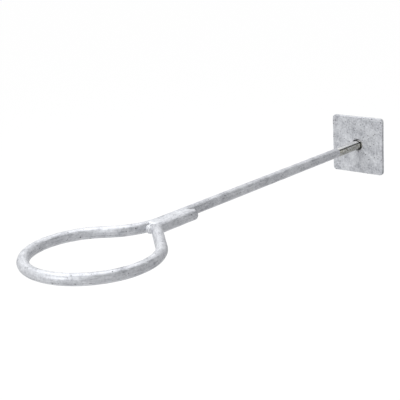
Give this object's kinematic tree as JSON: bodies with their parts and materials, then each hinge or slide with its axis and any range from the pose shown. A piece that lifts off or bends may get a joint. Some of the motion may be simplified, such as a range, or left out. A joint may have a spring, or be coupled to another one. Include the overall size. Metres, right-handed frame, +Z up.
{
  "type": "eye bolt",
  "caption": "Long eye bolt bent from round bar, with a large lap-welded eye, a threaded end and a square backing plate held by a nut and washer.",
  "frame": {"origin": "centre of the backing plate's front face, the face towards the eye, on the shank's axis", "axes": "+X along the shank from the eye to the threaded end; the eye lies in the XY plane at -X; +Z up, square to the eye; the lapped tail is on the -Y side"},
  "size_m": [0.5814, 0.1438, 0.075],
  "materials": {
    "bar_zinc": "hot-dip galvanised round bar, matt grey zinc with pale and dark mottling",
    "weld_zinc": "weld bead under the same hot-dip zinc",
    "plate_zinc": "hot-dip galvanised flat bar, clouded zinc",
    "nut_zinc": "hot-dip galvanised fastener",
    "turned_steel": "bare turned and threaded bar end, bright"
  },
  "bodies": {
    "eye_rod": {"eye_rod": "bar_zinc", "lap_weld_top": "weld_zinc", "lap_weld_bottom": "weld_zinc", "crotch_weld": "weld_zinc"},
    "washer": {"washer": "nut_zinc"},
    "nut": {"nut": "nut_zinc"},
    "plate": {"plate": "plate_zinc"}
  },
  "joints": [
    {"name": "nut_travel", "type": "slide", "parent": "eye_rod", "child": "washer", "axis": [1, 0, 0], "range_m": [-0.0052, 0.007]},
    {"name": "nut_turn", "type": "hinge", "parent": "washer", "child": "nut", "pos_m": [0.0125, 0, 0], "axis": [1, 0, 0], "range_deg": [-1075, 1445]},
    {"name": "plate_turn", "type": "hinge", "parent": "washer", "child": "plate", "pos_m": [0.0025, 0, 0], "axis": [1, 0, 0], "continuous": true}
  ],
  "couplings": [
    {"joint": "nut_turn", "follows": "nut_travel", "rad_per_m": 3590.4}
  ]
}
